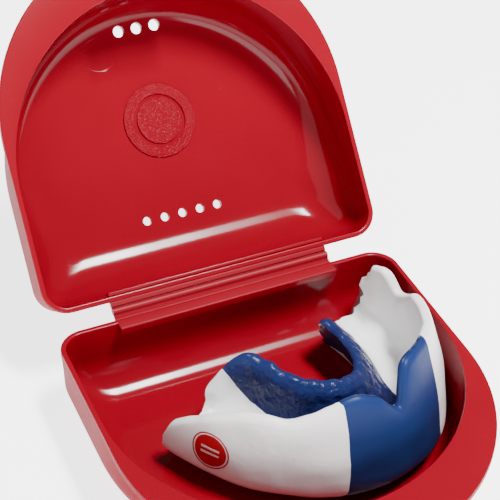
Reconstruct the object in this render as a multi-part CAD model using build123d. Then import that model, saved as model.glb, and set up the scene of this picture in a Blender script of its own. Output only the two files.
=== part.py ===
from build123d import *
import math
import os

# A boil-free laminated sports mouthguard lying in its hinged plastic case, with the lid open.
# Millimetres, +Z up.  X runs along the hinge, the hinge is at +Y and the finger land at -Y.
# The origin is the middle of the case's footprint, on the surface that it stands on.

# ---- case: overall sizes ------------------------------------------------------------------
case_width = 80.3           # across the straight sides, outside
case_length = 76.8          # rear wall to the front of the land
base_depth = 17.4           # rim to underside
lid_depth = 17.4            # rim to top
wall = 1.2                  # side walls
plate = 1.2                 # floor of the base and top of the lid
rear_corner = 5.8           # radius of the two rear corners, outside
land_inside_width = 0.15    # land's front radius is this much under half the width
front_land = 11.2           # width of the land at the middle of the front
land_thickness = 1.6
edge_round = 8.0            # rounding between the walls and the floor, outside
draft = 1.5                 # degrees, for leaving the mould
closing_gap = 0.2           # between the two rims when shut

# ---- film hinge ---------------------------------------------------------------------------
hinge_half_length = 26.0
hinge_back = 2.1            # axis behind the rear wall
hinge_above_rim = 0.5       # axis above the base's rim
open_angle = 130.6          # how far the lid stands open at rest
web_radius = 0.8            # rounded roll of the film hinge
web_thickness = 0.4         # thin film between the roll and the base's leaf
leaf_length = 1.1           # stiff lip that carries the film, on each half
leaf_thickness = 1.5
leaf_drop = 0.1             # leaf's face below the rim
rail_height = 2.0           # thickened rail inside each rim, along the hinge
base_rail_width = 2.0
lid_rail_width = 1.3

# ---- lid details --------------------------------------------------------------------------
vent_pitch = 4.4
rear_vent_count, rear_vent_bore, rear_vent_from_back = 5, 2.05, 15.3
front_vent_count, front_vent_bore, front_vent_from_back = 3, 2.6, 59.4
roundel_radius, roundel_inner_radius, roundel_height = 8.6, 6.2, 0.35
roundel_disc_radius, roundel_from_back = 5.4, 37.4
snap_rib_half_length, snap_rib_thickness, snap_rib_drop, snap_clearance = 8.0, 1.0, 2.4, 0.25

# ---- mouthguard ---------------------------------------------------------------------------
guard_turn = 20.0           # degrees, stripe and heels turned towards +X
arch_skew = 12.0            # degrees, how much further the arch itself is turned
guard_x, guard_from_back = 4.2, 18.5      # middle of the arch's open end
heel_back = 2.0             # the arms run on behind that middle
guard_lift = 0.1            # clearance over the case's floor
foot_half_width, foot_length = 25.8, 32.8  # outline that it stands on
bulge_half_width, bulge_length = 31.6, 38.2  # widest outline, at the top of the bite pad
rim_half_width, rim_length = 29.3, 31.4    # outline of the rim
pad_thickness = 4.2
flange_height = 21.6        # cheek and lip flange, above the bite pad
flange_thickness = 3.0
palate_foot_half_width, palate_foot_length = 13.0, 20.5   # palate opening, underneath
palate_rim_half_width, palate_rim_length = 9.8, 15.5      # palate opening, at its rim
palate_across = 2.5         # middle of the palate opening, towards the right arm
palate_flange_height = 11.8
palate_thickness = 2.6
stripe_middle, stripe_half_width = 0.5, 13.0
notch_half_width, notch_depth, notch_across = 3.4, 7.0, -2.0
heel_drop, heel_length = 11.0, 9.0         # how the cheek flanges run down at the back

# ---- name tag in the left cheek flange ------------------------------------------------------
tag_radius, tag_ring_radius, tag_ring_width, tag_thickness = 3.35, 3.9, 0.35, 0.25
tag_along, tag_height = 3.7, 10.6
tag_line_length, tag_line_width = 3.6, 0.35

# ---- places worked out from the sizes above -------------------------------------------------
rear_y = case_length / 2
front_y = -case_length / 2
axis_y = rear_y + hinge_back
axis_z = base_depth + hinge_above_rim
land_radius = case_width / 2 - land_inside_width      # front edge of the flat land, from above
mouth_radius = case_width / 2 - wall - 0.1
mouth_y = front_y + front_land + mouth_radius
corner_x = case_width / 2 - rear_corner
corner_y = rear_y - rear_corner
land_y = front_y + land_radius


def hull_outline(inset, circle_y, circle_radius, corner_radius):
    """Outline of two rear corner circles and one large front circle, pulled in by inset."""
    cx, cy = corner_x - inset, corner_y - inset
    radius = circle_radius - inset
    dx, dy = cx, cy - circle_y
    lean = math.atan2(dy, dx) - math.acos((radius - corner_radius) / math.hypot(dx, dy))
    nx, ny = math.cos(lean), math.sin(lean)
    mid = (lean + math.pi / 2) / 2

    def on_corner(angle, side):
        return (side * (cx + corner_radius * math.cos(angle)), cy + corner_radius * math.sin(angle))

    right_front = (radius * nx, circle_y + radius * ny)
    left_front = (-right_front[0], right_front[1])
    edges = [
        Line(on_corner(math.pi / 2, -1), on_corner(math.pi / 2, 1)),
        ThreePointArc(on_corner(math.pi / 2, 1), on_corner(mid, 1), on_corner(lean, 1)),
        Line(on_corner(lean, 1), right_front),
        ThreePointArc(right_front, (0, circle_y - radius), left_front),
        Line(left_front, on_corner(lean, -1)),
        ThreePointArc(on_corner(lean, -1), on_corner(mid, -1), on_corner(math.pi / 2, -1)),
    ]
    return make_face(Wire(edges))


def tub(depth, rounding, front_radius, corner_radius):
    """Solid tub below z = 0: drafted walls, then a rounded turn into a flat floor."""
    slope = math.tan(math.radians(draft))
    straight = depth - rounding

    def section(below, inset):
        outline = hull_outline(inset, mouth_y, front_radius, corner_radius)
        return Pos(0, 0, -below) * outline

    walls = loft([section(0, 0), section(straight, straight * slope)], ruled=True)
    turn = []
    for step in range(5):
        angle = math.radians(22.5 * step)
        inset = straight * slope + rounding * (1 - math.cos(angle))
        turn.append(section(straight + rounding * math.sin(angle), inset))
    return walls + loft(turn)


def half_shell(depth):
    """One half of the case, opening upwards, with its rim at z = 0."""
    outside = tub(depth, edge_round, mouth_radius + wall, rear_corner)
    inside = tub(depth - plate, edge_round - wall, mouth_radius, rear_corner - wall)
    land = hull_outline(0, land_y, land_radius, rear_corner)
    shell = outside + Pos(0, 0, -land_thickness) * extrude(land, land_thickness)
    return shell - inside


def hinge_bar(y_from, y_to, z_from, z_to):
    """Straight bar as long as the hinge."""
    bar = Box(2 * hinge_half_length, y_to - y_from, z_to - z_from)
    return Pos(0, (y_from + y_to) / 2, (z_from + z_to) / 2) * bar


def as_lid(shape):
    """Turn a part built rim-up at z = 0 over, onto the base's rim, and swing it open."""
    shut = Pos(0, 0, base_depth + closing_gap) * mirror(shape, about=Plane.XY)
    to_axis = Pos(0, -axis_y, -axis_z) * shut
    return Pos(0, axis_y, axis_z) * (Rot(-open_angle, 0, 0) * to_axis)


def as_base(shape):
    """Put a part built rim-up at z = 0 in place as part of the base."""
    return Pos(0, 0, base_depth) * shape


def inner_rail(width):
    """Rail inside the rear wall, its top flush with the rim."""
    wall_face = rear_y - wall - rail_height * math.tan(math.radians(draft))
    return hinge_bar(wall_face - width, wall_face, -rail_height, 0)


def hinge_leaf():
    """Lip outside the rear wall that carries the film hinge."""
    return hinge_bar(rear_y, rear_y + leaf_length, -leaf_thickness - leaf_drop, -leaf_drop)


def film_hinge():
    """Rounded film on the hinge axis, with the thin web that joins it to the base's leaf."""
    roll = Pos(0, axis_y, axis_z) * (Rot(0, 90, 0) * Cylinder(web_radius, 2 * hinge_half_length))
    web_top = base_depth - leaf_drop
    web = hinge_bar(rear_y + leaf_length, axis_y, web_top - web_thickness, web_top)
    return roll + web


def vent_row(count, bore, from_back):
    """Straight row of round vents through the lid's plate."""
    row = None
    for index in range(count):
        x = (index - (count - 1) / 2) * vent_pitch
        pin = Pos(x, rear_y - from_back, -lid_depth) * Cylinder(bore / 2, 4 * plate)
        row = pin if row is None else row + pin
    return row


def roundel(radius, hole):
    """Blank round boss on the inside of the lid's plate, as a ring or a disc."""
    boss = Cylinder(radius, roundel_height)
    if hole:
        boss -= Cylinder(hole, roundel_height)
    return Pos(0, rear_y - roundel_from_back, -lid_depth + plate + roundel_height / 2) * boss


def snap_rib():
    """Short curved rib under the lid's land that drops just inside the base's mouth."""
    outer = mouth_radius - snap_clearance
    band = Cylinder(outer, snap_rib_drop) - Cylinder(outer - snap_rib_thickness, snap_rib_drop)
    window = Pos(0, -outer, 0) * Box(2 * snap_rib_half_length, 6, snap_rib_drop)
    return Pos(0, mouth_y, snap_rib_drop / 2) * (band & window)


def arch(half_width, length, height, across, skew):
    """Face of a half ellipse: the open end just behind the local X axis, the front at local -Y."""
    whole = Pos(across, 0) * (Rot(0, 0, skew) * Ellipse(half_width, length))
    reach = 2 * length
    keep = Pos(0, heel_back - reach / 2) * Rectangle(4 * half_width, reach)
    return Pos(0, 0, height) * (whole & keep).face()


def cheek_loft(low, high, z_low, z_high):
    """Solid between two outer outlines, each given as half-width and length."""
    return loft([arch(*low, z_low, 0, arch_skew), arch(*high, z_high, 0, arch_skew)], ruled=True)


def palate_loft(low, high, z_low, z_high):
    """Solid between two outlines of the palate's opening."""
    return loft([arch(*low, z_low, palate_across, 0), arch(*high, z_high, palate_across, 0)], ruled=True)


def between(low, high, share):
    """Half-width and length part of the way from one arch to the next."""
    return tuple(a + (b - a) * share for a, b in zip(low, high))


def shrink(size, amount):
    """Arch outline pulled in all round."""
    return size[0] - amount, size[1] - amount


foot = (foot_half_width, foot_length)
bulge = (bulge_half_width, bulge_length)
rim = (rim_half_width, rim_length)
palate_foot = (palate_foot_half_width, palate_foot_length)
palate_rim = (palate_rim_half_width, palate_rim_length)
pad_share = pad_thickness / (pad_thickness + palate_flange_height)
palate_pad = between(palate_foot, palate_rim, pad_share)
rim_z = pad_thickness + flange_height
palate_z = pad_thickness + palate_flange_height


def bite_pad():
    """Floor of the trough, which the teeth bite on."""
    pad = cheek_loft(foot, bulge, 0, pad_thickness)
    return pad - palate_loft(palate_foot, palate_pad, 0, pad_thickness)


def outer_flange():
    """Cheek and lip flange: leans in towards its rim, dips at the lip notch and at both heels."""
    outside = cheek_loft(bulge, rim, pad_thickness, rim_z)
    inside = cheek_loft(shrink(bulge, flange_thickness), shrink(rim, flange_thickness), pad_thickness, rim_z)
    flange = outside - inside
    notch = Plane.XZ * Polyline(
        (notch_across - notch_half_width, rim_z + 1),
        (notch_across, rim_z - notch_depth),
        (notch_across + notch_half_width, rim_z + 1),
        close=True,
    )
    flange -= extrude(make_face(notch), 60)
    heel = Plane.YZ * Polyline(
        (heel_back + 1, rim_z - heel_drop),
        (heel_back - heel_length, rim_z + 1),
        (heel_back + 1, rim_z + 1),
        close=True,
    )
    return flange - extrude(make_face(heel), 40, both=True)


def palate_flange():
    """Low inner wall that leans over the roof of the mouth."""
    outside = palate_loft(
        tuple(size + palate_thickness for size in palate_pad),
        tuple(size + palate_thickness for size in palate_rim),
        pad_thickness,
        palate_z,
    )
    return outside - palate_loft(palate_pad, palate_rim, pad_thickness, palate_z)


def zones(shape):
    """Cut a guard part at the edges of the colour stripe: left, front and right."""
    left_edge, right_edge = stripe_middle - stripe_half_width, stripe_middle + stripe_half_width
    reach = 60
    cuts = {"left": (-reach, left_edge), "front": (left_edge, right_edge), "right": (right_edge, reach)}
    return {
        name: shape & (Pos((low + high) / 2, 0, 0) * Box(high - low, 2 * reach, 2 * reach))
        for name, (low, high) in cuts.items()
    }


def place_guard(shape):
    """From the guard's own frame to its place in the base."""
    turned = Rot(0, 0, guard_turn) * shape
    return Pos(guard_x, rear_y - guard_from_back, plate + guard_lift) * turned


def tag_plane():
    """Plane on the outside of the left cheek flange, with its Z pointing out."""
    share = (tag_height - pad_thickness) / flange_height
    half_width, length = between(bulge, rim, share)
    angle = math.asin(tag_along / length)
    point = Vector(-half_width * math.cos(angle), -length * math.sin(angle), tag_height)
    along = Vector(half_width * math.sin(angle), -length * math.cos(angle), 0).normalized()
    lower = between(bulge, rim, share - 0.1)
    below = Vector(-lower[0] * math.cos(angle), -lower[1] * math.sin(angle), tag_height - 0.1 * flange_height)
    up = (point - below).normalized()
    outward = along.cross(up).normalized()
    if outward.X > 0:
        outward = outward * -1
    return Plane(origin=point + outward * 0.05, x_dir=along, z_dir=outward)


def name_tag():
    """Round tag under the guard's clear skin: disc, ring and two blank writing lines."""
    plane = tag_plane()
    disc = plane * Cylinder(tag_radius, tag_thickness, align=(Align.CENTER, Align.CENTER, Align.MIN))
    ring = Cylinder(tag_ring_radius, tag_thickness) - Cylinder(tag_ring_radius - tag_ring_width, tag_thickness)
    ring = plane * (Pos(0, 0, tag_thickness / 2) * ring)
    line = Box(tag_line_length, tag_line_width, 0.1)
    lines = [Pos(0, offset, tag_thickness + 0.05) * line for offset in (-0.6, 0.6)]
    tag = disc, ring, plane * (lines[0] + lines[1])
    return [Rot(0, 0, arch_skew) * shape for shape in tag]


def write(name, shape):
    """Write one sub-part to its STEP file."""
    solids = [solid for solid in shape.solids() if solid.volume > 1e-3]
    export_step(solids[0] if len(solids) == 1 else Compound(children=solids), f"parts/{name}.step")


os.makedirs("parts", exist_ok=True)

write("base_shell", as_base(half_shell(base_depth)))
write("base_hinge_rail", as_base(inner_rail(base_rail_width)))
write("base_hinge_leaf", as_base(hinge_leaf()))
write("film_hinge", film_hinge())

lid = half_shell(lid_depth)
lid -= vent_row(rear_vent_count, rear_vent_bore, rear_vent_from_back)
lid -= vent_row(front_vent_count, front_vent_bore, front_vent_from_back)
write("lid_shell", as_lid(lid))
write("lid_hinge_rail", as_lid(inner_rail(lid_rail_width)))
write("lid_hinge_leaf", as_lid(hinge_leaf()))
write("lid_roundel_ring", as_lid(roundel(roundel_radius, roundel_inner_radius)))
write("lid_roundel_disc", as_lid(roundel(roundel_disc_radius, 0)))
write("lid_snap_rib", as_lid(snap_rib()))

guard_parts = {
    "flange": zones(outer_flange()),
    "bite_pad": zones(bite_pad()),
    "palate_flange": {"front": palate_flange()},
}
for part_name, pieces in guard_parts.items():
    for zone, piece in pieces.items():
        write(f"guard_{zone}_{part_name}", place_guard(piece))

tag_disc, tag_ring, tag_lines = name_tag()
write("tag_disc", place_guard(tag_disc))
write("tag_ring", place_guard(tag_ring))
write("tag_lines", place_guard(tag_lines))
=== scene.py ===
# A laminated sports mouthguard lying in its red hinged case, with the lid standing open.
# Metres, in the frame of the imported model: X along the hinge, hinge at +Y, table at Z = 0.
import math

import bmesh
import bpy
from mathutils import Matrix, Vector, noise


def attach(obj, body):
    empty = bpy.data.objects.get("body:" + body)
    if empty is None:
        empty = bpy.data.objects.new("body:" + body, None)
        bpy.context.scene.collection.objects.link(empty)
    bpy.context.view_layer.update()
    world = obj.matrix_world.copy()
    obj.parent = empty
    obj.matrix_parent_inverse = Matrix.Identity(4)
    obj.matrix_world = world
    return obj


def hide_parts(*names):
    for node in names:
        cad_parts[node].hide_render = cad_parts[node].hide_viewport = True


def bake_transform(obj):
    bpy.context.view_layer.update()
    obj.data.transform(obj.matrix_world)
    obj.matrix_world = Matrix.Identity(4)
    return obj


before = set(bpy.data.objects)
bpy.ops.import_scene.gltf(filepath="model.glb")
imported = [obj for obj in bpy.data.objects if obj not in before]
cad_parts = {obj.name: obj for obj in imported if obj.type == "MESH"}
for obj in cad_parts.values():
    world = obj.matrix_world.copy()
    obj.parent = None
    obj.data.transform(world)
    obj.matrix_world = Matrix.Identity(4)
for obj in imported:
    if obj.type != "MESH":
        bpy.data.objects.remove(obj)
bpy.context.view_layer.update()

MM = 0.001

# ---- The table, the camera and the studio lights --------------------------------------------
# A white glowing table top under a row of four soft boxes that fade to the right, with a wide
# card on the left, a low one in front, and a dim white room around them.
# The camera looks down at the case from its front left corner.
TARGET = Vector((10.64, 49.07, 17.4)) * MM
AZIMUTH, ELEVATION, ROLL = (math.radians(a) for a in (-26.26, 39.37, 2.62))
DISTANCE = 310.74 * MM


def place(obj, where, across, upward, towards_viewer):
    """Put a camera or a light somewhere, given its three axes."""
    turn = Matrix((across, upward, towards_viewer)).transposed().to_4x4()
    obj.matrix_world = Matrix.Translation(where) @ turn


def facing(where, at):
    """Axes of a light at one point that shines at another, its X kept level."""
    away = (where - at).normalized()
    across = Vector((0, 0, 1)).cross(away).normalized()
    return across, away.cross(across), away


bpy.ops.object.camera_add()
camera = bpy.context.active_object
right = Vector((math.cos(AZIMUTH), math.sin(AZIMUTH), 0))
towards_front = Vector((math.sin(AZIMUTH), -math.cos(AZIMUTH), 0))
back = towards_front * math.cos(ELEVATION) + Vector((0, 0, math.sin(ELEVATION)))
up = back.cross(right)
rolled_right = right * math.cos(ROLL) + up * math.sin(ROLL)
rolled_up = up * math.cos(ROLL) - right * math.sin(ROLL)
place(camera, TARGET + back * DISTANCE, rolled_right, rolled_up, back)
camera.data.sensor_width, camera.data.lens = 36, 97.23
camera.data.clip_start, camera.data.clip_end = 0.01, 10
bpy.context.scene.camera = camera


def soft_box(name, where, at, size, watts):
    """A rectangular studio light."""
    bpy.ops.object.light_add(type="AREA")
    light = bpy.context.active_object
    light.name = name
    light.data.shape = "RECTANGLE"
    light.data.size, light.data.size_y = size
    light.data.energy = watts
    place(light, where, *facing(where, at))


KEY_WIDTH, KEY_LENGTH, FIRST_KEY_X = 0.044, 0.16, 0.111
for number, watts in enumerate((5.6, 1.9, 0.6, 0.15)):
    x = FIRST_KEY_X + KEY_WIDTH * number
    over, under = Vector((x, -0.07, 0.53)), Vector((x, 0.03, 0.02))
    soft_box(f"key_box_{number + 1}", over, under, (KEY_WIDTH, KEY_LENGTH), watts)
soft_box("left_card", Vector((-0.62, 0.05, 0.30)), Vector((0, 0.03, 0.02)), (1.0, 0.9), 3.4)
soft_box("front_card", Vector((-0.22, -0.62, 0.17)), Vector((0.01, 0, 0.015)), (0.7, 0.22), 4.0)

world = bpy.data.worlds.new("room")
world.use_nodes = True
world.node_tree.nodes["Background"].inputs["Color"].default_value = (1, 0.99, 0.98, 1)
world.node_tree.nodes["Background"].inputs["Strength"].default_value = 0.22
bpy.context.scene.world = world


class Paint:
    """One output of a material's node tree. Sums on it add Math nodes."""

    def __init__(self, tree, socket=None):
        self.tree, self.socket = tree, socket

    def node(self, kind, settings, inputs, output=0):
        """Add any node: its type, its settings, and what goes into its sockets."""
        made = self.tree.nodes.new("ShaderNode" + kind)
        for name, value in settings.items():
            if name == "stops":
                for spot in value[2:]:
                    made.color_ramp.elements.new(0.5)
                for element, (position, colour) in zip(made.color_ramp.elements, value):
                    element.position, element.color = position, colour
            else:
                setattr(made, name, value)
        for name, value in inputs.items():
            if isinstance(value, Paint):
                self.tree.links.new(value.socket, made.inputs[name])
            else:
                made.inputs[name].default_value = value
        return Paint(self.tree, made.outputs[output])

    def sum(self, operation, first, second):
        return self.node("Math", {"operation": operation}, {0: first, 1: second})

    def __add__(self, other):
        return self.sum("ADD", self, other)

    def __sub__(self, other):
        return self.sum("SUBTRACT", self, other)

    def __rsub__(self, other):
        return self.sum("SUBTRACT", other, self)

    def __mul__(self, other):
        return self.sum("MULTIPLY", self, other)

    __radd__, __rmul__ = __add__, __mul__

    def above(self, edge, softness):
        """0 below the edge and 1 above it, with a soft step."""
        return self.node(
            "MapRange",
            {"interpolation_type": "SMOOTHSTEP"},
            {"Value": self, "From Min": edge - softness, "From Max": edge + softness},
        )

    def noise(self, size_mm, detail=3.0, roughness=0.5):
        """Cloudy noise, 0 to 1, with lumps of about this size. Called on a place in metres."""
        settings = {"Vector": self, "Scale": 1 / (size_mm * MM), "Detail": detail, "Roughness": roughness}
        return self.node("TexNoise", {}, settings)

    def colour(self, low, high):
        """Mix of two colours, called on the share of the second."""
        return self.node("Mix", {"data_type": "RGBA"}, {0: self, 6: (*low, 1), 7: (*high, 1)}, 2)

    def over(self, under, tint):
        """A colour laid over another paint, called on how much of it shows."""
        return self.node("Mix", {"data_type": "RGBA"}, {0: self, 6: under, 7: (*tint, 1)}, 2)


def new_finish(name):
    """A new material, as its place socket (the object's own metres) and its shader node."""
    material = bpy.data.materials.new(name)
    material.use_nodes = True
    tree = material.node_tree
    place_here = Paint(tree).node("TexCoord", {}, {}, 3)
    return material, place_here, tree.nodes["Principled BSDF"]


def apply_finish(shader, paint, colour, roughness, height=None, depth_mm=0.02, **fixed):
    """Wire a colour, a roughness and a bump to a shader, and set its fixed sockets."""
    for name, value in (("Base Color", colour), ("Roughness", roughness)):
        paint.tree.links.new(value.socket, shader.inputs[name])
    if height is not None:
        bump = paint.node("Bump", {}, {"Strength": 1.0, "Distance": depth_mm * MM, "Height": height})
        paint.tree.links.new(bump.socket, shader.inputs["Normal"])
    for name, value in fixed.items():
        shader.inputs[name.replace("_", " ")].default_value = value


bpy.ops.object.select_all(action="DESELECT")
bpy.ops.mesh.primitive_grid_add(x_subdivisions=4, y_subdivisions=4, size=6)
table = bpy.context.active_object
table.name = table.data.name = "table_top"
table_finish, at, shader = new_finish("table_paper")
cloud = at.noise(40)
apply_finish(
    shader, at, cloud.colour((0.86, 0.86, 0.86), (0.89, 0.89, 0.89)), 0.7 + cloud * 0.1, at.noise(0.6), 0.01,
    Emission_Color=(1, 1, 1, 1), Emission_Strength=2.9,
)
table.data.materials.append(table_finish)

# ---- The two halves of the case --------------------------------------------------------------
# One polypropylene moulding: a base and a lid of the same outline, with thin drafted walls, a
# rounded turn into the floor, and a flat half-moon land at the front for the thumbs. The mould
# is polished inside and spark-eroded outside, so the inside is glossy and the outside satin.
CASE_WIDTH, CASE_LENGTH, HALF_DEPTH = 80.3, 76.8, 17.4
WALL, PLATE, REAR_CORNER, LAND_RADIUS = 1.2, 1.2, 5.8, 40.0
LAND_WIDTH, LAND_THICKNESS, EDGE_ROUND = 11.2, 1.6, 8.0
DRAFT = math.tan(math.radians(1.5))
AXIS_Y, AXIS_Z, OPEN_ANGLE, CLOSING_GAP = 40.5, 17.9, math.radians(130.6), 0.2
MOUTH_RADIUS = CASE_WIDTH / 2 - WALL - 0.1
MOUTH_Y = -CASE_LENGTH / 2 + LAND_WIDTH + MOUTH_RADIUS
LAND_Y = -CASE_LENGTH / 2 + LAND_RADIUS

in_base = Matrix.Translation((0, 0, HALF_DEPTH))
in_lid = (
    Matrix.Translation((0, AXIS_Y, AXIS_Z))
    @ Matrix.Rotation(-OPEN_ANGLE, 4, "X")
    @ Matrix.Translation((0, -AXIS_Y, -AXIS_Z))
    @ Matrix.Translation((0, 0, HALF_DEPTH + CLOSING_GAP))
    @ Matrix.Scale(-1, 4, (0, 0, 1))
)


def start_piece(name, vertices):
    """A new ring of vertices, open in edit mode, as the start of a lofted piece."""
    bpy.ops.object.select_all(action="DESELECT")
    bpy.ops.mesh.primitive_circle_add(vertices=vertices, radius=0.01, fill_type="NOTHING")
    piece = bpy.context.active_object
    piece.name = piece.data.name = name
    bpy.ops.object.mode_set(mode="EDIT")
    bpy.ops.mesh.select_all(action="SELECT")
    return piece


def loft(name, rings, capped=True):
    """Draw a ring of vertices out through every following ring, then close both ends."""
    piece = start_piece(name, len(rings[0]))
    mesh = bmesh.from_edit_mesh(piece.data)
    for number, ring in enumerate(rings):
        if number:
            bpy.ops.mesh.extrude_region_move()
            mesh = bmesh.from_edit_mesh(piece.data)
        for vertex, point in zip([v for v in mesh.verts if v.select], ring):
            vertex.co = point
        bmesh.update_edit_mesh(piece.data)
    if capped:
        bpy.ops.mesh.edge_face_add()
        count = len(rings[0])
        bpy.ops.mesh.select_all(action="DESELECT")
        mesh = bmesh.from_edit_mesh(piece.data)
        mesh.verts.ensure_lookup_table()
        for vertex in mesh.verts[:count]:
            vertex.select = True
        mesh.select_flush(True)
        bpy.ops.mesh.edge_face_add()
    bpy.ops.mesh.select_all(action="SELECT")
    bpy.ops.mesh.normals_make_consistent(inside=False)
    bpy.ops.object.mode_set(mode="OBJECT")
    return piece


def smooth(piece, angle=40):
    """Shade a piece smooth, except at edges sharper than this."""
    bpy.ops.object.select_all(action="DESELECT")
    piece.select_set(True)
    bpy.context.view_layer.objects.active = piece
    bpy.ops.object.shade_smooth_by_angle(angle=math.radians(angle))


def modify(piece, kind, **settings):
    """Add a modifier and apply it."""
    bpy.ops.object.select_all(action="DESELECT")
    piece.select_set(True)
    bpy.context.view_layer.objects.active = piece
    modifier = piece.modifiers.new(kind.lower(), kind)
    for name, value in settings.items():
        setattr(modifier, name, value)
    bpy.ops.object.modifier_apply(modifier=modifier.name)


def eased(share):
    """A share kept between 0 and 1, with a soft start and a soft end."""
    share = max(0, min(1, share))
    return share * share * (3 - 2 * share)


def outline(inset, z, circle_y, radius, corner):
    """Case outline at a height: straight rear, two corners, two sides and one large front arc."""
    cx = CASE_WIDTH / 2 - REAR_CORNER - inset
    cy = CASE_LENGTH / 2 - REAR_CORNER - inset
    radius -= inset
    dy = cy - circle_y
    lean = math.atan2(dy, cx) - math.acos((radius - corner) / math.hypot(cx, dy))
    points = []
    for side in (1, -1):
        half = [(cx * k / 12, cy + corner) for k in range(12)]
        for k in range(11):
            angle = math.pi / 2 + (lean - math.pi / 2) * k / 10
            half.append((cx + corner * math.cos(angle), cy + corner * math.sin(angle)))
        end = half[-1]
        front = (radius * math.cos(lean), circle_y + radius * math.sin(lean))
        step = ((front[0] - end[0]) / 8, (front[1] - end[1]) / 8)
        half += [(end[0] + step[0] * k, end[1] + step[1] * k) for k in range(1, 8)]
        for k in range(33):
            angle = lean + (-math.pi / 2 - lean) * k / 32
            half.append((radius * math.cos(angle), circle_y + radius * math.sin(angle)))
        points += half if side == 1 else [(-x, y) for x, y in reversed(half[1:-1])]
    return [Vector((x, y, z)) for x, y in points]


def inner(inset, z):
    return outline(inset, z, MOUTH_Y, MOUTH_RADIUS, REAR_CORNER - WALL)


def outer(inset, z):
    return outline(inset, z, MOUTH_Y, MOUTH_RADIUS + WALL, REAR_CORNER)


def land(inset, z):
    return outline(inset, z, LAND_Y, LAND_RADIUS, REAR_CORNER)


def quarter(steps):
    """Angles over a quarter turn."""
    return [math.pi / 2 * k / steps for k in range(steps + 1)]


def half_case_rings(rear_turn):
    """Rings from the middle of the inside floor, over the rim, to the middle of the outside."""
    straight = HALF_DEPTH - EDGE_ROUND
    turn, edge, skin = EDGE_ROUND - WALL, 0.3, 0.08
    depth = HALF_DEPTH - PLATE

    def turned(angle, more=0):
        """Ring on the inside turn, which is wider along the hinge than at the sides."""
        near, far = (
            inner((depth - r) * DRAFT + r * (1 - math.cos(angle)) + more, r - depth - r * math.sin(angle))
            for r in (turn, rear_turn)
        )
        return [a.lerp(b, eased((a.y - 4) / 22)) for a, b in zip(near, far)]

    rings = [turned(math.pi / 2, more) for more in (9, 4, 1.2, 0.4)]
    rings += [turned(a) for a in reversed(quarter(14))]
    rings += [inner(straight * DRAFT * share, -straight * share) for share in (0.24, 0.08)]
    rings += [inner(-edge * (1 - math.cos(a)), -edge * (1 - math.sin(a))) for a in quarter(4)]
    rings += [land(edge + 0.12, 0)]
    rings += [land(edge * (1 - math.sin(a)), -edge * (1 - math.cos(a))) for a in quarter(4)]
    rings += [land(0, -0.7), land(0, 0.2 - LAND_THICKNESS)]
    rings += [land(0.1, -LAND_THICKNESS), outer(skin, -LAND_THICKNESS - 0.05)]
    rings += [outer(skin + 0.01, -LAND_THICKNESS - 0.6)]
    rings += [outer(skin + straight * DRAFT * share, -straight * share) for share in (0.5, 0.9)]
    lean = skin + straight * DRAFT
    for a in quarter(12):
        rings.append(outer(lean + EDGE_ROUND * (1 - math.cos(a)), -straight - EDGE_ROUND * math.sin(a)))
    rings += [outer(lean + EDGE_ROUND + more, -HALF_DEPTH) for more in (0.4, 1.2, 6, 12)]
    return rings


def mark_mould(piece):
    """Keep every point's place in its half's own mould, rim up, for the patterns."""
    spots = piece.data.attributes.new("mould", "FLOAT_VECTOR", "POINT")
    for vertex, spot in zip(piece.data.vertices, spots.data):
        spot.vector = vertex.co * MM


def into_place(piece, matrix):
    """Take a piece from its half's mould to where it belongs, in metres."""
    piece.data.transform(Matrix.Scale(MM, 4) @ matrix)
    if matrix.is_negative:
        piece.data.flip_normals()


HOLE_SPACING = 4.4


def vents(piece):
    """Bore the two rows of air holes: five small ones near the hinge and three larger ones."""
    bits = []
    for count, bore, from_back in ((5, 2.05, 15.3), (3, 2.6, 59.4)):
        for number in range(count):
            spot = ((number - (count - 1) / 2) * HOLE_SPACING, CASE_LENGTH / 2 - from_back, -HALF_DEPTH + 0.6)
            bpy.ops.object.select_all(action="DESELECT")
            bpy.ops.mesh.primitive_cylinder_add(vertices=40, radius=bore / 2, depth=5, location=spot)
            bpy.ops.object.mode_set(mode="EDIT")
            bpy.ops.mesh.select_all(action="SELECT")
            bpy.ops.mesh.subdivide(number_cuts=1)
            bpy.ops.object.mode_set(mode="OBJECT")
            bpy.ops.object.transform_apply(location=True, rotation=True, scale=True)
            bits.append(bpy.context.active_object)
    bpy.ops.object.select_all(action="DESELECT")
    for bit in bits:
        bit.select_set(True)
    bpy.context.view_layer.objects.active = bits[0]
    bpy.ops.object.join()
    modify(piece, "BOOLEAN", object=bits[0], operation="DIFFERENCE", solver="EXACT")
    bpy.data.objects.remove(bits[0])


RED_DEEP, RED_LIT, RED_WORN = (0.165, 0.0008, 0.0070), (0.195, 0.0010, 0.0085), (0.22, 0.004, 0.012)
PIN_X, PIN_Y, PIN_INSIDE, PIN_OUTSIDE = -10.4, -16.6, 3.8, 3.95


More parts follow.
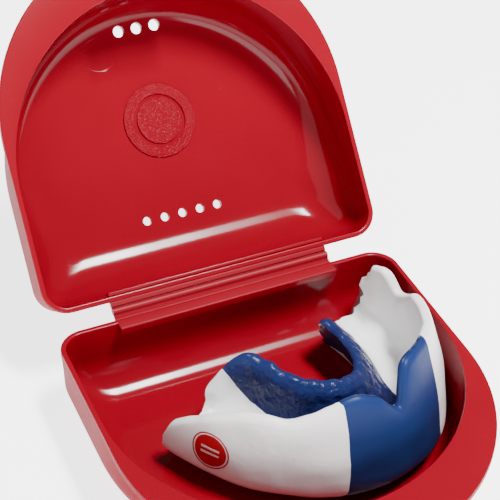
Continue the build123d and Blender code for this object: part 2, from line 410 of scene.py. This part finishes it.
def case_finish(name, glossy, handled=0.10):
    """Red polypropylene, polished or spark-eroded, a little duller where it is handled.
    The lid's inside has the faint ring of an ejector pin."""
    material, at, shader = new_finish(name)
    mould = at.node("Attribute", {"attribute_name": "mould"}, {}, 1)
    spread = at.node("SeparateXYZ", {}, {"Vector": mould}, 2)
    rim = spread.above(-0.35 * MM, 0.3 * MM)
    flow = mould.noise(22, 2)
    specks = mould.noise(0.9, 1).above(0.80, 0.02)
    colour = (specks * 0.25 + rim * 0.10).over(flow.colour(RED_DEEP, RED_LIT), RED_WORN)
    if glossy:
        peel = mould.noise(2.6, 2)
        across = at.node("SeparateXYZ", {}, {"Vector": mould}, 0)
        along = at.node("SeparateXYZ", {}, {"Vector": mould}, 1)
        side, length = across - PIN_X * MM, along - PIN_Y * MM
        squared = side * side + length * length
        reach = squared.node("Math", {"operation": "SQRT"}, {0: squared})
        witness = reach.above(PIN_INSIDE * MM, 0.06 * MM) - reach.above(PIN_OUTSIDE * MM, 0.06 * MM)
        on_lid = 1 if name == "lid_gloss" else 0
        height = peel * 0.35 + specks * 0.5 + witness * (1.4 * on_lid)
        apply_finish(shader, at, colour, 0.10 + flow * 0.05 + specks * 0.2 + rim * handled, height, 0.010,
                     IOR=1.49, Specular_IOR_Level=0.20)
    else:
        grain = mould.noise(0.45, 2) + mould.noise(0.16, 1) * 0.6
        apply_finish(shader, at, colour, 0.40 + flow * 0.08 + grain * 0.05, grain, 0.05,
                     IOR=1.13, Specular_IOR_Level=0.5)
    return material


satin = case_finish("case_satin", False)
BASE_REAR_TURN, LID_REAR_TURN = 8.5, 11.5
for name, matrix, body, rear_turn in (
    ("base_shell_moulding", in_base, "base", BASE_REAR_TURN),
    ("lid_shell_moulding", in_lid, "lid", LID_REAR_TURN),
):
    shell = loft(name, half_case_rings(rear_turn))
    if body == "lid":
        vents(shell)
    mark_mould(shell)
    into_place(shell, matrix)
    shell.data.materials.append(case_finish(body + "_gloss", True))
    shell.data.materials.append(satin)
    mould = shell.data.attributes["mould"].data
    for face in shell.data.polygons:
        spot = sum((mould[v].vector for v in face.vertices), Vector()) / len(face.vertices) / MM
        outward = (matrix.inverted().to_3x3() @ face.normal).normalized()
        below_land = spot.z < -0.35
        radial = Vector((spot.x, spot.y - 8, 0)).dot(Vector((outward.x, outward.y, 0)))
        down = outward.z < -0.05
        face.material_index = 1 if below_land and (down or (abs(outward.z) < 0.3 and radial > 0)) else 0
    smooth(shell, 35)
    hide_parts(body + "_shell")
    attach(shell, body)

# ---- The hinge rails and leaves ----------------------------------------------------------------
# Both halves are stiffened along the hinge by a rounded rail inside the rear wall, and carry a
# short leaf outside it. All of it is in the same moulding as the case.
HINGE_HALF = 26.0


def bar(name, y_from, y_to, z_from, z_to, softness):
    """A straight bar along the hinge with rounded edges and ends."""
    bpy.ops.object.select_all(action="DESELECT")
    bpy.ops.mesh.primitive_cube_add(size=1)
    piece = bpy.context.active_object
    piece.name = piece.data.name = name
    bpy.ops.object.mode_set(mode="EDIT")
    bpy.ops.mesh.select_all(action="SELECT")
    bpy.ops.transform.resize(value=(2 * HINGE_HALF, y_to - y_from, z_to - z_from))
    bpy.ops.transform.translate(value=(0, (y_from + y_to) / 2, (z_from + z_to) / 2))
    bpy.ops.mesh.bevel(offset=softness, segments=4, affect="EDGES")
    bpy.ops.object.mode_set(mode="OBJECT")
    return piece


hinge_gloss = case_finish("hinge_gloss", True, 0.36)
rail_face = CASE_LENGTH / 2 - WALL - 2 * DRAFT
for body, matrix, rail_width, wall_cover, proud in (
    ("base", in_base, 1.9, 0.9, 0.06), ("lid", in_lid, 0.9, 0.05, -0.35),
):
    for part, y_from, y_to, z_from, z_to, softness in (
        ("rail", rail_face - rail_width, rail_face + wall_cover, -2, proud, 0.3),
        ("leaf", CASE_LENGTH / 2 - 0.02, CASE_LENGTH / 2 + 1.1, -1.6, -0.1, 0.16),
    ):
        piece = bar(f"{body}_hinge_{part}_moulding", y_from, y_to, z_from, z_to, softness)
        mark_mould(piece)
        into_place(piece, matrix)
        piece.data.materials.append(hinge_gloss)
        smooth(piece, 30)
        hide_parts(f"{body}_hinge_{part}")
        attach(piece, body)

# ---- The film hinge ---------------------------------------------------------------------------
# A flexible bead with a thin film on each side of it, moulded between the two leaves. On the real case it
# bends when the lid moves; here it is built in the open pose only, running from the base's edge to the lid's
# edge.
BEAD_RADIUS, FILM = 0.8, 0.45


def film_profile():
    """Section of the film, in the plane across the hinge: base film, bead, lid film."""
    near_y, far_y = CASE_LENGTH / 2 + 0.9, CASE_LENGTH / 2 + 1.15
    lid_edge = (in_lid @ Vector((0, near_y, -0.45))).yz
    lid_under = (in_lid @ Vector((0, near_y, -0.95))).yz
    bead = [(AXIS_Y + BEAD_RADIUS * math.cos(a), AXIS_Z + BEAD_RADIUS * math.sin(a))
            for a in (math.radians(200 - 17.5 * k) for k in range(10))]
    under = [(AXIS_Y + BEAD_RADIUS * math.cos(a), AXIS_Z + BEAD_RADIUS * math.sin(a))
             for a in (math.radians(10 - 15 * k) for k in range(10))]
    top_z = HALF_DEPTH - 0.14
    above = [(near_y, top_z), (far_y, top_z)] + bead + [tuple(lid_edge), tuple(lid_under)]
    return above + under + [(far_y, top_z - FILM), (near_y, top_z - FILM)]


section = film_profile()
steps = 52
film_rings = []
for number in range(steps + 1):
    x = -HINGE_HALF + 2 * HINGE_HALF * number / steps
    film_rings.append([Vector((x, y, z)) for y, z in section])
film = loft("film_hinge_moulding", film_rings)
mark_mould(film)
into_place(film, Matrix.Identity(4))
film.data.materials.append(case_finish("film_gloss", True, 0.36))
smooth(film, 50)
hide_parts("film_hinge")
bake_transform(film)

# ---- The blank roundel and the snap rib inside the lid -----------------------------------------
# A shallow round boss with a stippled face, left blank, and the short rib that snaps the case
# shut. Both are in the lid's moulding.
stipple_finish, at, shader = new_finish("case_stipple")
stipple = at.noise(0.42, 2, 0.7)
pits = stipple.above(0.56, 0.06)
stipple_red = (pits * 0.55).colour(RED_DEEP, (0.185, 0.002, 0.009))
apply_finish(
    shader, at, stipple_red, 0.20 + pits * 0.08, pits + stipple * 0.5, 0.018,
    IOR=1.49, Specular_IOR_Level=0.12,
)
for node in ("lid_roundel_ring", "lid_roundel_disc"):
    for material_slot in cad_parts[node].material_slots:
        material_slot.material = stipple_finish
rib_finish, at, shader = new_finish("rib_gloss")
drift = at.noise(14, 2)
apply_finish(shader, at, drift.colour(RED_DEEP, RED_LIT), 0.18 + drift * 0.06, at.noise(2.2), 0.012, IOR=1.49)
for material_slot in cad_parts["lid_snap_rib"].material_slots:
    material_slot.material = rib_finish

# ---- The mouthguard ---------------------------------------------------------------------------
# Two sheets of EVA, drawn hot over a cast of the teeth and laminated: white, a blue stripe over
# the front teeth, and white again. It stands on its bite side with the trough upwards. The rims
# are trimmed and flamed round, and the two heels are only cut with shears.
GUARD_MIDDLE, GUARD_TURN, ARCH_SKEW = Vector((4.2, 19.9, 0)), math.radians(20), math.radians(12)
STAND = 1.3
FOOT, BULGE, RIM = (25.8, 32.8), (31.6, 38.2), (29.3, 31.4)
BULGE_Z, RIM_Z = 6.8, 27.1
FIRST_ANGLE, LAST_ANGLE = -13.0, 173.0
RIM_HEIGHTS = [
    (-13, 10), (-11.5, 12.5), (-8, 14.8), (-2, 17.2), (4, 19.4), (11, 21.4), (20, 22.8), (35, 23.2),
    (49, 25.6), (59, 27), (69, 25.2), (76.5, 21.6), (81, 25), (86, 27.8), (92, 28.6), (99, 28), (110, 27.2),
    (124, 24.8), (141, 23.6), (149, 20.5), (156, 18.4), (161, 22), (166, 21.5), (170, 20), (173, 16),
]
PALATE_HEIGHTS = [
    (0, 14.5), (2.5, 17.5), (6, 19.6), (12, 20.2), (22, 19.6), (50, 18), (80, 16.6), (110, 14.6),
    (140, 13.8), (165, 14.2), (174, 13.6), (180, 8.5),
]


def curve_through(stops, x):
    """Smooth value through listed stops."""
    for k in range(len(stops) - 1):
        (x0, y0), (x1, y1) = stops[k], stops[k + 1]
        if x <= x1 or k == len(stops) - 2:
            before, after = stops[max(k - 1, 0)], stops[min(k + 2, len(stops) - 1)]
            slope0 = (y1 - before[1]) / (x1 - before[0])
            slope1 = (after[1] - y0) / (after[0] - x0)
            t, h = max(0, min(1, (x - x0) / (x1 - x0))), x1 - x0
            return (
                (2 * t**3 - 3 * t**2 + 1) * y0 + (t**3 - 2 * t**2 + t) * h * slope0
                + (3 * t**2 - 2 * t**3) * y1 + (t**3 - t**2) * h * slope1
            )


def cheek_point(size, inset, share):
    """Point of an outer outline, in the guard's own plan: across to the right arm, and forward."""
    angle = math.radians(FIRST_ANGLE + (LAST_ANGLE - FIRST_ANGLE) * share)
    u, v = -(size[0] - inset) * math.cos(angle), (size[1] - inset) * math.sin(angle)
    c, s = math.cos(ARCH_SKEW), math.sin(ARCH_SKEW)
    return Vector((u * c + v * s, v * c - u * s))


PALATE_CREST, PALATE_FOOT, PALATE_SLOPE_HEIGHT = (11.4, 18.4), (13.2, 22.0), 15.7


def palate_point(half_width, length, share, right_step):
    """Point of the palate's opening, a narrow U that flares at its left heel."""
    angle = math.pi * share
    c, s = math.cos(angle), math.sin(angle)
    power = 2 / 2.3
    u = 2.7 - half_width * math.copysign(abs(c) ** power, c)
    v = -3 + length * s**power
    left_flare = 6.5 * max(0, 1 - share / 0.09) ** 2
    return Vector((u - left_flare + right_step * eased((share - 0.5) / 0.3), v))


def cheek_lean(share, z):
    """How far the left cheek leans inwards at a height above its bulge."""
    return 2.6 * eased(1 - share / 0.42) * max(0, (z - BULGE_Z) / (RIM_Z - BULGE_Z))


def outer_size(z):
    """Half-width and length of the cheek side at a height."""
    if z <= BULGE_Z:
        rise = max(0, min(1, (z - STAND) / (BULGE_Z - STAND)))
        share = math.sin(math.pi / 2 * rise) ** 0.75
        return tuple(f + (b - f) * share for f, b in zip(FOOT, BULGE))
    share = (z - BULGE_Z) / (RIM_Z - BULGE_Z)
    swell = 0.9 * math.sin(math.pi * min(1, share))
    return tuple(b + (r - b) * share + swell for b, r in zip(BULGE, RIM))


def wobble(point, size, seed):
    """Slow random value of about plus or minus one."""
    return 2 * noise.noise(Vector((point[0] / size, point[1] / size, point[2] / size + seed)))


def guard_section(share):
    """One closed cross-section of the guard, as points and how far each is inside the trough."""
    angle = FIRST_ANGLE + (LAST_ANGLE - FIRST_ANGLE) * share
    rim = curve_through(RIM_HEIGHTS, angle) + 0.2 * wobble((angle, 0, 0), 7, 3)
    crest = curve_through(PALATE_HEIGHTS, 180 * share) + 0.3 * wobble((angle, 0, 0), 9, 9)
    floor_z = 5.6
    points, depth = [], []

    def add(plan, z, inside):
        points.append(Vector((plan.x, plan.y, z)))
        depth.append(inside)

    def cheek(z, inset, inside):
        add(cheek_point(outer_size(z), inset + cheek_lean(share, z), share), z, inside)

    for rise in (0, 0.08, 0.2, 0.36, 0.56, 0.8):
        cheek(STAND + (BULGE_Z - STAND) * rise, 0, 0)
    for k in range(9):
        cheek(BULGE_Z + (rim - 1.3 - BULGE_Z) * k / 8, 0, 0)
    for inset, drop in (
        (0.12, 0.75), (0.45, 0.32), (0.95, 0.06), (1.5, 0.02), (2.05, 0.3), (2.4, 0.8), (2.6, 1.5),
    ):
        cheek(rim - drop, inset, 0 if inset < 1.5 else 0.5)
    low = min(floor_z + 3.6, rim - 3)
    for k in range(1, 8):
        cheek(rim - 1.5 + (low - rim + 1.5) * k / 7, 2.6 + 0.5 * k / 7, 1)
    wall_out = cheek_point(outer_size(low), 3.1 + cheek_lean(share, low), share)
    crest_plan = palate_point(*PALATE_CREST, share, -2.6)
    foot_plan = palate_point(*PALATE_FOOT, share, 3.2)
    ledge = 3.2 + 1.6 * eased((share - 0.42) / 0.2)

    def palate_wall(z, away):
        """Place on the palate wall at a height, moved from its palate side towards the trough."""
        plan = foot_plan.lerp(crest_plan, max(0, min(1.15, (z - STAND) / PALATE_SLOPE_HEIGHT)))
        return plan + (wall_out - plan).normalized() * away

    def palate(z, away, inside):
        add(palate_wall(z, away), z, inside)

    wall_in = palate_wall(floor_z + 2.6, ledge)
    for k in range(1, 12):
        t = k / 12
        sag = math.sin(math.pi * t) ** 0.55
        z = (low * (1 - t) + (floor_z + 2.6) * t) * (1 - sag) + floor_z * sag
        add(wall_out.lerp(wall_in, t), z, 1)
    for k in range(1, 7):
        t = k / 7
        palate(floor_z + 2.6 + (crest - 1.2 - floor_z - 2.6) * t, ledge + (2.9 - ledge) * t, 1)
    for away, drop in ((2.7, 0.9), (2.2, 0.35), (1.4, 0.0), (0.7, 0.12), (0.15, 0.6)):
        palate(crest - drop, away, 0.5)
    for k in range(1, 9):
        palate(crest - 0.55 + (STAND + 0.9 - crest + 0.55) * k / 8, 0, 0)
    palate(STAND + 0.35, 0.25, 0)
    palate(STAND, 1.0, 0)
    bottom_in, bottom_out = points[-1].copy(), points[0]
    for k in range(1, 6):
        spot = bottom_in.lerp(bottom_out, k / 6)
        add(spot.xy, STAND, 0)
    return points, depth


def onto_case(point):
    """From the guard's own plan to its place in the base."""
    u, v, z = point
    c, s = math.cos(GUARD_TURN), math.sin(GUARD_TURN)
    return GUARD_MIDDLE + Vector((u * c + v * s, u * s - v * c, z))


SECTIONS, HEEL_SECTIONS = 230, 7
guard_rings, guard_depth = [], []
for number in range(SECTIONS + 1):
    points, depth = guard_section(number / SECTIONS)
    heel = max(0, 1 - min(number, SECTIONS - number) / HEEL_SECTIONS)
    ring = []
    for point, inside in zip(points, depth):
        moved = point.copy()
        jag = wobble((point.x + point.z * 1.7, point.z, point.y * 0.2), 3.2, 21 if number > 100 else 5)
        ragged = 1 if number > SECTIONS / 2 else 0.18
        moved.y += heel * ragged * (0.8 * jag + 0.3 * wobble(point, 1.2, 8))
        if inside >= 1:
            lumps = 0.42 * wobble(point, 4.6, 40) + 0.14 * wobble(point, 2.1, 60)
            moved.z += lumps * (1 if point.z < 9 else 0.2)
            moved.x += 0.25 * wobble(point, 3.4, 77)
            moved.y += 0.25 * wobble(point, 3.4, 99)
        elif point.z > STAND + 1:
            moved.x += 0.16 * wobble(point, 7.5, 11)
            moved.y += 0.16 * wobble(point, 7.5, 13)
        ring.append(onto_case(moved))
    guard_rings.append(ring)
    guard_depth.append(depth)


def drawn_aside(piece, sense):
    """Push the guard sideways as the hot sheet was pulled over the back teeth, or back again.
    It leans about half a millimetre for each millimetre of height, and less towards the front."""
    c, s = math.cos(GUARD_TURN), math.sin(GUARD_TURN)
    for vertex in piece.data.vertices:
        x, y, z = vertex.co / MM
        forward = (x - GUARD_MIDDLE.x) * s - (y - GUARD_MIDDLE.y) * c
        shift = sense * eased((22 - forward) / 12) * (0.51 * z - 5.76)
        vertex.co += Vector((shift * c, shift * s, 0)) * MM


def keep_between(piece, cuts):
    """Trim a copy of the guard with planes, given as a point and a direction in its own plan."""
    bpy.ops.object.select_all(action="DESELECT")
    piece.select_set(True)
    bpy.context.view_layer.objects.active = piece
    for spot, normal in cuts:
        drawn = 1 if spot[0] < 0 else 0
        drawn_aside(piece, drawn)
        bpy.ops.object.mode_set(mode="EDIT")
        bpy.ops.mesh.select_all(action="SELECT")
        start = onto_case(Vector(spot)) * MM
        end = onto_case(Vector(spot) + Vector(normal)) * MM
        across = (end - start).normalized()
        bpy.ops.mesh.bisect(plane_co=start, plane_no=across, use_fill=True, clear_outer=True)
        bpy.ops.object.mode_set(mode="OBJECT")
        drawn_aside(piece, -drawn)


whole = loft("guard_whole", guard_rings)
inside = whole.data.attributes.new("trough", "FLOAT", "POINT")
for spot, value in zip(inside.data, (v for depth in guard_depth for v in depth)):
    spot.value = value
whole.data.transform(Matrix.Scale(MM, 4))


def sheet_finish(name, painted_shade_low, lit, trough_tint, satin_level, gloss_level, crinkle, **fixed):
    """Drawn EVA sheet: satin outside, wet-looking in the trough, cloudy, with painted shade low down and
    painted light higher up.
    """
    material, at, shader = new_finish(name)
    trough = at.node("Attribute", {"attribute_name": "trough"}, {}, 2)
    cloud = at.noise(9, 3)
    # Painted light and shade: the sheet's colour runs from its shaded colour near the table to its lit colour
    # higher up.
    height = at.node("SeparateXYZ", {}, {"Vector": at}, 2).above(15 * MM, 12 * MM)
    body = (cloud * 0.5 + height * 0.5).colour(painted_shade_low, lit)
    colour = (trough * 0.85).over(body, trough_tint)
    creases = at.noise(3.0, 3, 0.5)
    skin = at.noise(0.7, 3)
    relief = skin * 0.07 + at.noise(5, 2) * 0.5 + trough * creases * crinkle
    roughness = satin_level + skin * 0.06 + trough * (gloss_level - satin_level)
    apply_finish(shader, at, colour, roughness, relief, 0.35, **fixed)
    return material


# Each sheet's first colour is its painted shade low down and its second is its painted light higher up. The
# white's shade is pinked as a painted bounce from the red case.
white = sheet_finish(
    "guard_white_sheet", (0.70, 0.64, 0.64), (0.80, 0.785, 0.775), (0.83, 0.83, 0.83), 0.33, 0.40, 0.35,
    Subsurface_Weight=0.25, Subsurface_Radius=(1.0, 0.6, 0.5), Subsurface_Scale=0.0012, IOR=1.48,
)
blue = sheet_finish(
    "guard_blue_sheet", (0.010, 0.012, 0.052), (0.010, 0.027, 0.108), (0.009, 0.012, 0.062), 0.36, 0.06, 4.2,
    IOR=1.46, Specular_IOR_Level=0.11,
)
TILT = math.radians(10.0)
left_cut = ((-12.9, 0, 12), (1, 0, -0.09))
right_cut = ((13.2, 30, 12), (math.cos(TILT), math.sin(TILT), 0))


def other_side(cut):
    return cut[0], tuple(-step for step in cut[1])


zones = (
    ("guard_left_arm", [left_cut], white, "guard_white", ("guard_left_flange", "guard_left_bite_pad")),
    ("guard_front_stripe", [other_side(left_cut), right_cut], blue, "guard_blue",
     ("guard_front_flange", "guard_front_bite_pad", "guard_front_palate_flange")),
    ("guard_right_arm", [other_side(right_cut)], white, "guard_white",
     ("guard_right_flange", "guard_right_bite_pad")),
)
guard_pieces = {}
for name, cuts, material, slot, nodes in zones:
    piece = whole.copy()
    piece.data = whole.data.copy()
    piece.name = piece.data.name = name
    bpy.context.collection.objects.link(piece)
    keep_between(piece, cuts)
    piece.data.materials.append(material)
    smooth(piece, 48)
    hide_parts(*nodes)
    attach(piece, "mouthguard")
    guard_pieces[name] = piece
bpy.data.objects.remove(whole)

# ---- The name tag ------------------------------------------------------------------------------
# A printed red tag with a ring around it and two blank writing lines, sealed under the clear
# skin of the left cheek, so it follows the sheet and is as glossy as it is.
TAG_ANGLE, TAG_HEIGHT = 5.5, 12.0
tag_share = (TAG_ANGLE - FIRST_ANGLE) / (LAST_ANGLE - FIRST_ANGLE)


def cheek_surface(share, z):
    """Point on the outside of the cheek, in metres in the base."""
    plan = cheek_point(outer_size(z), cheek_lean(share, z), share)
    return onto_case(Vector((plan.x, plan.y, z))) * MM


tag_middle = cheek_surface(tag_share, TAG_HEIGHT)
tag_along = (cheek_surface(tag_share + 0.01, TAG_HEIGHT) - tag_middle).normalized()
tag_up = (cheek_surface(tag_share, TAG_HEIGHT + 1) - tag_middle).normalized()
tag_out = tag_along.cross(tag_up).normalized()
if tag_out.x > 0:
    tag_out = -tag_out
tag_up = tag_out.cross(tag_along).normalized()
if tag_up.z < 0:
    tag_up = -tag_up
tag_across = tag_up.cross(tag_out)
tag_place = Matrix.Translation(tag_middle) @ Matrix((tag_across, tag_up, tag_out)).transposed().to_4x4()


def decal(name, rings_mm, lift, tint, node):
    """A thin printed shape: closed flat rings, laid onto the cheek and given a thickness."""
    bpy.ops.object.select_all(action="DESELECT")
    parts = []
    for shape in rings_mm:
        placed = [[tag_place @ (Vector((x, y, 2)) * MM) for x, y in ring] for ring in shape]
        parts.append(loft(name, placed, capped=False))
    bpy.ops.object.select_all(action="DESELECT")
    for part in parts:
        part.select_set(True)
    bpy.context.view_layer.objects.active = parts[0]
    if len(parts) > 1:
        bpy.ops.object.join()
    piece = parts[0]
    piece.name = piece.data.name = name
    cheek = guard_pieces["guard_left_arm"]
    modify(piece, "SHRINKWRAP", target=cheek, wrap_method="NEAREST_SURFACEPOINT", offset=lift * MM)
    modify(piece, "SOLIDIFY", thickness=0.08 * MM, offset=0)
    material, at, shader = new_finish(name + "_print")
    mottle = at.noise(0.8, 3)
    tinted = mottle.colour(*tint)
    apply_finish(shader, at, tinted, 0.28 + mottle * 0.08, mottle, 0.01, IOR=1.48, Coat_Weight=0.3)
    piece.data.materials.append(material)
    smooth(piece, 50)
    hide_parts(node)
    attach(piece, "mouthguard")


def circle(radius):
    """Closed ring of points around the middle of the tag."""
    return [(radius * math.cos(a), radius * math.sin(a)) for a in (2 * math.pi * k / 64 for k in range(64))]


def line_ring(width, height, offset):
    """Closed outline of a thin writing line."""
    w, h = width / 2, height / 2
    count = 16
    low = [(-w + 2 * w * k / count, offset - h) for k in range(count + 1)]
    return low + [(x, offset + h) for x, y in reversed(low)]


def thinned(ring, share, offset):
    """A writing line's outline drawn in towards the line's own middle."""
    return [(x * (1 - 0.02 * share), offset + (y - offset) * (1 - share)) for x, y in ring]


DISC_RADIUS, RING_OUTSIDE, RING_INSIDE = 3.95, 4.6, 4.3
LINE_LENGTH, LINE_WIDTH, LINE_OFFSET = 4.5, 0.5, 0.65
RED_PRINT = ((0.33, 0.004, 0.010), (0.37, 0.005, 0.012))
WHITE_PRINT = ((0.50, 0.36, 0.35), (0.56, 0.42, 0.41))
UNDER_SKIN, ON_DISC = 0.05, 0.10
disc_circles = [circle(DISC_RADIUS * k / 8) for k in (8, 7, 6, 5, 4, 3, 2, 1, 0.05)]
decal("tag_disc_print", [disc_circles], UNDER_SKIN, RED_PRINT, "tag_disc")
ring_circles = [circle(r) for r in (RING_OUTSIDE, (RING_OUTSIDE + RING_INSIDE) / 2, RING_INSIDE)]
decal("tag_ring_print", [ring_circles], UNDER_SKIN, RED_PRINT, "tag_ring")
line_pairs = []
for offset in (-LINE_OFFSET, LINE_OFFSET):
    ring = line_ring(LINE_LENGTH, LINE_WIDTH, offset)
    line_pairs.append([ring, thinned(ring, 0.5, offset), thinned(ring, 0.96, offset)])
decal("tag_lines_print", line_pairs, ON_DISC, WHITE_PRINT, "tag_lines")
